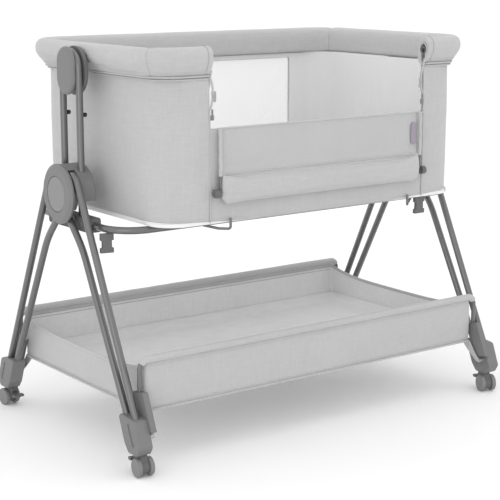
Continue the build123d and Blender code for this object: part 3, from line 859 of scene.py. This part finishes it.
class BuildGate(bpy.types.Operator):
    """Build the folded-down side: net panel, padded bar, edge sleeves and tag"""
    bl_idname = "bassinet.build_gate"
    bl_label = "Drop side"

    def execute(self, context):
        self.panel()
        self.bar()
        self.edges()
        self.tag()
        return {"FINISHED"}

    def panel(self):
        low, high = MESH_LOW.z - 8 * MM, MESH_HIGH.z

        def spot(v, u):
            x = MESH_HIGH.x * (2 * u - 1)
            z = low + (high - low) * v
            ease = math.sin(math.pi * v) ** 0.6
            slack = 1.6 * MM * ripple((x * 0.7 + z, 0, z * 1.3 - x * 0.3), 0.06, 3)
            lap = 7 * MM * (1 - smooth(low, low + 22 * MM, z))
            return Vector((x, MESH_LOW.y + 0.6 * MM - ease * (1.4 * MM + slack) - lap, z))

        panel = grid("gate_net_panel", patch(19, 60, spot))
        thicken(panel, 0.7 * MM)
        settle(panel, "gate_net", "drop_gate", "gate_mesh", "drop_mesh")

    def bar(self):
        half = PAD_HIGH.x - 2 * MM
        middle = (PAD_LOW + PAD_HIGH) / 2 + Vector((0, 0, 4 * MM))
        tall = (PAD_HIGH.z - PAD_LOW.z) / 2 - 4.5 * MM
        deep = (PAD_HIGH.y - PAD_LOW.y) / 2 - 4 * MM
        corner = 20 * MM
        around = 24

        def section(t):
            x = half * (2 * t - 1)
            end = 1 - abs(2 * t - 1)
            pull = max(0.3, min(1.0, end / 0.05) ** 0.5)
            inset = max(0.0, corner - end * half)
            tuck = corner - math.sqrt(max(0.0, corner ** 2 - inset ** 2))
            row = []
            for k in range(around):
                angle = 2 * math.pi * k / around
                c, s = math.cos(angle), math.sin(angle)
                z = math.copysign(abs(s) ** 0.75, s) * tall
                if s < 0:
                    z *= 1 - tuck / tall
                y = math.copysign(abs(c) ** 0.9, c) * deep * pull
                row.append(Vector((x, middle.y + y, middle.z + z)))
            return row

        pad = grid("gate_bar_pad", spaced(80, section), loop_points=True)
        cap_ends(pad)
        padding = setting("padding")
        inflate(pad, 6 * MM, padding.bar_swell, padding.pressure)
        for vertex in pad.data.vertices:
            vertex.co.y = min(vertex.co.y, PAD_HIGH.y)
            sag = ripple((vertex.co.x, 0, vertex.co.z), 0.06, 5)
            vertex.co.y -= 0.8 * MM * sag
        settle(pad, "shell", "drop_gate", "shell_fabric", "drop_pad")
        seam_z = middle.z + tall + 2 * MM
        line = spaced(60, lambda t: Vector((half * 0.98 * (2 * t - 1), MESH_LOW.y - 5.5 * MM,
                                            seam_z)))
        bead = cord_curve("gate_fold_seam", line, 1.2 * MM)
        settle(bead, "shell", "drop_gate", "shell_fabric")
        top = [Vector((p.x, MESH_LOW.y + 0.2 * MM, MESH_HIGH.z - 1 * MM)) for p in line]
        hem = cord_curve("gate_top_hem", top, 2.2 * MM)
        settle(hem, "shell", "drop_gate", "gate_mesh")
        lines = [[p + Vector((0, -1.6 * MM, 5 * MM)) for p in line]]
        settle(stitches("gate_stitching", lines, radius=0.3 * MM), "thread", "drop_gate",
               "shell_fabric")

    def edges(self):
        low, high = MESH_LOW.z - 2 * MM, MESH_HIGH.z - 1 * MM
        arm = corners("drop_frame")[1].x - 3 * MM
        middle_y = (PAD_LOW.y + PAD_HIGH.y) / 2
        for name, side in SIDES:
            line = spaced(24, lambda t: Vector((side * arm, middle_y + 0.8 * MM * math.sin(21.6 * t),
                                                low + (high - low) * t)))
            sleeve = cord_curve(f"gate_edge_{name}", line, 4.0 * MM)
            settle(sleeve, "shell", "drop_gate", "shell_fabric")

    def tag(self):
        centre = Vector((MESH_HIGH.x - 12 * MM, MESH_LOW.y - 3.2 * MM, MESH_HIGH.z - 48 * MM))

        def spot(v, u):
            level = 2 * v - 1
            half = 8 * MM * (1 - max(0.0, abs(level) - 0.75) ** 2 * 5)
            return centre + Vector((half * (2 * u - 1), -0.8 * MM * math.sin(math.pi * u),
                                    24 * MM * level))

        tag = grid("side_tag", patch(12, 8, spot))
        thicken(tag, 0.8 * MM)
        settle(tag, "tag", "drop_gate", "shell_fabric")


def cap_ends(obj):
    """Closes the open ends of a lofted tube."""
    with editing(obj.data) as builder:
        bmesh.ops.holes_fill(builder, edges=[e for e in builder.edges if e.is_boundary])


class BuildPosts(bpy.types.Operator):
    """Build the zips on the gate's posts and the folds below the rail's open ends"""
    bl_idname = "bassinet.build_posts"
    bl_label = "Posts and zips"

    def execute(self, context):
        zip_low, zip_high = corners("zip_sliders")[1].z, RAIL_HEM - 2 * MM
        front = -BODY_Y - 0.6 * MM
        low = BODY_LOW.z - 4 * MM
        for name, side in SIDES:
            chain = spaced(30, lambda t: Vector((
                side * (GATE_X - 3 * MM - 7 * MM * math.sin(math.pi * t) ** 0.8), front,
                zip_low + (zip_high - zip_low) * t)))
            beside = [p + Vector((side * 2.4 * MM, 0, 0)) for p in chain]
            tape = cord_curve(f"zip_tape_{name}", beside, 2.0 * MM)
            settle(tape, "shell", "cradle", "shell_fabric")
            teeth = stitches(f"zip_teeth_{name}", [chain], 2.2 * MM, 0.85, 0.9 * MM)
            settle(teeth, "zip", "cradle", "shell_fabric")
            edge = cord_curve(f"post_edge_{name}", spaced(40, lambda t: Vector((
                side * (GATE_X + 1 * MM), front - 1.2 * MM, low + (zip_low - low) * t))), 1.5 * MM)
            settle(edge, "shell", "cradle", "shell_fabric")
            self.fold(name, side)
            self.tab(name, side, zip_low + 14 * MM)
        return {"FINISHED"}

    def fold(self, name, side):
        """Gathered cloth that runs from the socket's opening down to the zip."""
        for part, lean in (("inner", 1), ("outer", -1)):
            line = spaced(13, lambda t: Vector((
                side * (GATE_X - 1 * MM), -RAIL_Y + lean * 7 * MM * (1 - t),
                RAIL_HEM + 12 * MM - 34 * MM * t)))
            tail = cord_curve(f"stub_fold_{part}_{name}", line, 2.4 * MM,
                              taper=lambda t: 1.1 - 0.7 * t)
            settle(tail, "shell", "cradle", "rail_fabric")

    def tab(self, name, side, height):
        """A loop of light cloth over the zip's slider."""
        rows = patch(8, 4, lambda v, u: Vector((
            side * (GATE_X - 9 * MM + 12 * MM * (u - 0.5)),
            -BODY_Y - 1.5 * MM - 1.2 * MM * math.sin(math.pi * v), height + 22 * MM * v)))
        tab = grid(f"zip_tab_{name}", rows)
        thicken(tab, CLOTH)
        settle(tab, "thread", "cradle", "shell_fabric")


# ---------------------------------------------------------------- basket


class BuildBasket(bpy.types.Operator):
    """Build the storage basket: walls, floor, rod sleeves, hems and straps"""
    bl_idname = "bassinet.build_basket"
    bl_label = "Basket"

    def execute(self, context):
        self.walls()
        self.floor()
        self.sleeves()
        self.straps()
        return {"FINISHED"}

    def bridge(self, obj):
        """Bakes the piece's placement into its points; it does not follow the legs as they fold."""
        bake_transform(obj)

    def dress(self, obj, finish, slot, *replaced):
        if obj.type == "CURVE":
            obj = as_mesh(obj)
        elif obj.modifiers:
            apply_modifiers(obj)
        obj.data.materials.clear()
        obj.data.materials.append(material(finish))
        self.bridge(obj)
        if replaced:
            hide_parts(*replaced)

    def rod_drop(self, x):
        """How far the rod's middle line lies under its straight run, at x."""
        past = max(0.0, abs(x) - (ROD_HIGH.x - 5 * MM - ROD_BEND))
        return ROD_BEND - math.sqrt(max(0.0, ROD_BEND ** 2 - min(past, 19 * MM) ** 2))

    def top(self, place, normal):
        dip = 20 * MM * (abs(place.y) / TUB_HIGH.y) ** 4
        side_top = TUB_HIGH.z - 20 * MM + dip
        long_top = ROD_HIGH.z - 12 * MM - self.rod_drop(place.x)
        return side_top * abs(normal.x) + long_top * (1 - abs(normal.x))

    def walls(self):
        rows, hem, base_hem = [], [], []
        half_x = TUB_HIGH.x + 9 * MM
        stations = ring(half_x, TUB_HIGH.y, 10 * MM, 11 * MM)
        for place, normal in stations:
            top = self.top(place, normal)
            row = []
            for k in range(12):
                t = k / 11
                z = TUB_LOW.z + (top - TUB_LOW.z) * t
                sag = math.sin(math.pi * t)
                puff = sag * (2.2 + 1.5 * ripple((place.x, place.y, z * 0.6), 0.07, 9)) * MM
                row.append(at(place + normal * (puff - 1 * MM), z))
            rows.append(row)
            hem.append(row[-1] + Vector((0, 0, -7 * MM)) + normal * 0.9 * MM)
            base_hem.append(row[1] + normal * 0.5 * MM)
        liner = grid("basket_liner", [[p - n * 3 * MM for p in row[:-1]]
                                      for row, (_, n) in zip(rows, stations)], loop_rows=True)
        thicken(liner, 0.8 * MM)
        self.dress(liner, "liner", "basket_fabric")
        walls = grid("basket_walls", rows, loop_rows=True)
        thicken(walls, 2.0 * MM)
        self.dress(walls, "shell", "basket_fabric", "basket_tub")
        around = perimeter(stations)
        lines = [line + line[:1] for line in (hem, base_hem)]
        thread = stitches("basket_stitching", lines, radius=0.35 * MM)
        self.dress(thread, "thread", "basket_fabric")
        for number, z in enumerate((TUB_LOW.z + 1.5 * MM, TUB_LOW.z + 9 * MM)):
            low = [p + n * (0.6 - 0.9 * number) * MM + Vector((0, 0, z)) for p, n in stations]
            bead = cord_curve(f"basket_base_piping_{number}", low, (2.2 - 1.2 * number) * MM,
                              closed=True)
            self.dress(bead, "shell", "basket_fabric")
        for where, depth in LEGS:
            line = spaced(80, lambda t: Vector((
                half_x * 0.97 * (2 * t - 1), depth * (TUB_HIGH.y - 4 * MM), ROD_HIGH.z - 27 * MM)))
            seam = cord_curve(f"basket_sleeve_seam_{where}", line, 1.1 * MM)
            self.dress(seam, "shell", "basket_fabric")

    def floor(self):
        half_x, half_y = TUB_HIGH.x + 5 * MM, TUB_HIGH.y - 4 * MM

        def spot(v, u):
            x, y = half_x * (2 * u - 1), half_y * (2 * v - 1)
            ease = math.sin(math.pi * v) * math.sin(math.pi * u)
            lift = 1.4 * ripple((x, y, 0), 0.11, 11) + 0.7 * ripple((x * 2, y, 0), 0.05, 12)
            rim = max(abs(x) / half_x, 1 - (half_y - abs(y)) / half_x)
            cove = 22 * MM * smooth(0.9, 1.0, rim) ** 2
            return Vector((x, y, TUB_LOW.z + 5 * MM + lift * MM * ease + cove))

        floor = grid("basket_floor", patch(48, 80, spot))
        thicken(floor, 3.5 * MM)
        self.dress(floor, "floor_cloth", "basket_fabric", "basket_board")

    def sleeves(self):
        rod_z = ROD_HIGH.z - 5 * MM
        bend = ROD_HIGH.x - 5 * MM - ROD_BEND
        for where, depth in LEGS:
            path = []
            for k in range(7):
                angle = math.radians(35 + 55 * k / 7)
                path.append((-bend - ROD_BEND * math.cos(angle), ROD_BEND * (math.sin(angle) - 1),
                             angle))
            path += spaced(80, lambda t: (bend * (2 * t - 1), 0.0, math.pi / 2))
            path += [(-x, z, math.pi - angle) for x, z, angle in reversed(path[:7])]
            rows = []
            y = depth * (-ROD_LOW.y - 5 * MM)
            for x, drop, angle in path:
                puff = 1 + 0.06 * ripple((x, y, 0), 0.03, 13)
                up_x, up_z = math.cos(math.pi - angle), math.sin(angle)
                row = []
                for k in range(14):
                    turn = 2 * math.pi * k / 14
                    out = 7.2 * MM * math.cos(turn) * puff
                    up = 8.2 * MM * math.sin(turn) * puff
                    row.append(Vector((x + up * up_x, y + out, rod_z + drop + up * up_z)))
                rows.append(row)
            sleeve = grid(f"basket_sleeve_{where}", rows, loop_points=True)
            thicken(sleeve, 0.8 * MM)
            settle(sleeve, "shell", f"{where}_legs", "basket_fabric")

    def straps(self):
        for where, depth in LEGS:
            screw_low, screw_high = corners(f"shoe_screws_{where}")
            height = (screw_low.z + screw_high.z) / 2
            y = (screw_low.y + screw_high.y) / 2
            for name, side in SIDES:
                start = Vector((side * (screw_high.x - 15 * MM), y, height - 3 * MM))
                end = Vector((side * (TUB_HIGH.x + 6 * MM), depth * (TUB_HIGH.y - 14 * MM),
                              TUB_LOW.z + 3 * MM))
                rows = patch(12, 4, lambda v, u: start.lerp(end, v) + Vector((
                    0, (2 * u - 1) * (7 + 9 * v) * MM, -2 * MM * math.sin(math.pi * v))))
                strap = grid(f"corner_strap_{where}_{name}", rows)
                thicken(strap, 1.4 * MM, offset=0)
                replaced = (f"basket_straps_{where}",) if side > 0 else ()
                settle(strap, "shell", f"{where}_legs", "basket_fabric", *replaced)


# ---------------------------------------------------------------- finishes and stage


class BuildFinishes(bpy.types.Operator):
    """Give every piece of the frame its own finish"""
    bl_idname = "bassinet.build_finishes"
    bl_label = "Frame finishes"

    FINISHES = {
        "tube": "uprights frame_ basket_rod leg_ rail_frame drop_frame hem_wires",
        "plastic": "hub_ upright_caps shoe_",
        "dark": "cap_backs frame_brackets rail_sockets drop_latches buckles caster_fork brake_pedal",
        "button": "hub_button", "zip": "zip_sliders", "wheel": "caster_wheels",
        "rubber": "upright_studs", "steel": "hub_axles shoe_screws", "brass": "bracket_screws",
        "board": "base_board",
    }

    def execute(self, context):
        """Each node takes the finish of the longest name that it starts with."""
        finishes = {start: finish for finish, starts in self.FINISHES.items()
                    for start in starts.split()}
        for name, node in NODES.items():
            matches = [start for start in finishes if name.startswith(start)]
            finish = finishes[max(matches, key=len)] if matches else "shell"
            node.data.materials.clear()
            node.data.materials.append(material(finish))
        return {"FINISHED"}


class BuildStage(bpy.types.Operator):
    """Set up the pale floor, the studio light and the camera"""
    bl_idname = "bassinet.build_stage"
    bl_label = "Stage"

    def execute(self, context):
        stage = setting("stage")
        scene = context.scene
        floor = grid("stage_floor", [[Vector((x, y, -0.5 * MM)) for x in (-30, 0, 30)]
                                     for y in (-30, 0, 30)])
        paint = Shader("stage_paper", (0.96, 0.96, 0.96), 0.9)
        paint.put("Base Color", paint.tint(paint.noise(3, 2), 0.995, 1.005))
        floor.data.materials.append(paint.material)

        world = bpy.data.worlds.new("studio")
        world.use_nodes = True
        sky = world.node_tree.nodes["Background"].inputs
        sky["Color"].default_value = (1, 1, 1, 1)
        sky["Strength"].default_value = 1.08
        scene.world = world
        scene.view_settings.view_transform = "Standard"

        self.lamp("front_light", (-3.5, -2.3, 1.1), (0, 0, 0.35), 2.4, 20)
        self.lamp("top_light", (0.3, -0.8, 3.2), (0, 0, 0.4), 2.4, 8)

        camera = bpy.data.objects.new("camera", bpy.data.cameras.new("camera"))
        scene.collection.objects.link(camera)
        camera.data.lens = stage.lens
        camera.data.sensor_width = 36
        camera.location = stage.eye
        a, e = stage.azimuth, stage.elevation
        ahead = Vector((-math.sin(a) * math.cos(e), math.cos(a) * math.cos(e), -math.sin(e)))
        camera.rotation_euler = ahead.to_track_quat("-Z", "Y").to_euler()
        scene.camera = camera
        return {"FINISHED"}

    def lamp(self, name, place, target, size, power):
        lamp = bpy.data.lights.new(name, "AREA")
        lamp.size = size
        lamp.energy = power
        obj = bpy.data.objects.new(name, lamp)
        obj.location = place
        obj.rotation_euler = (Vector(target) - Vector(place)).to_track_quat("-Z", "Y").to_euler()
        bpy.context.scene.collection.objects.link(obj)


OPERATORS = (BuildFinishes, BuildRail, BuildShell, BuildMattress, BuildGate, BuildPosts,
             BuildBasket, BuildStage)


class BassinetPanel(bpy.types.Panel):
    """Lists the bassinet's pieces and settings in the sidebar"""
    bl_idname = "VIEW3D_PT_bassinet"
    bl_label = "Bassinet"
    bl_space_type = "VIEW_3D"
    bl_region_type = "UI"
    bl_category = "Bassinet"

    def draw(self, context):
        for operator in OPERATORS:
            self.layout.operator(operator.bl_idname)
        for name, group in SETTINGS:
            box = self.layout.box()
            for prop in group.__annotations__:
                box.prop(getattr(context.scene, name), prop)


def register():
    for name, group in SETTINGS:
        bpy.utils.register_class(group)
        setattr(bpy.types.Scene, name, bpy.props.PointerProperty(type=group))
    for cls in (*OPERATORS, BassinetPanel):
        bpy.utils.register_class(cls)


def unregister():
    for cls in (BassinetPanel, *reversed(OPERATORS)):
        bpy.utils.unregister_class(cls)
    for name, group in reversed(SETTINGS):
        delattr(bpy.types.Scene, name)
        bpy.utils.unregister_class(group)


def main():
    register()
    for operator in OPERATORS:
        family, name = operator.bl_idname.split(".")
        getattr(getattr(bpy.ops, family), name)()


if __name__ == "__main__":
    main()
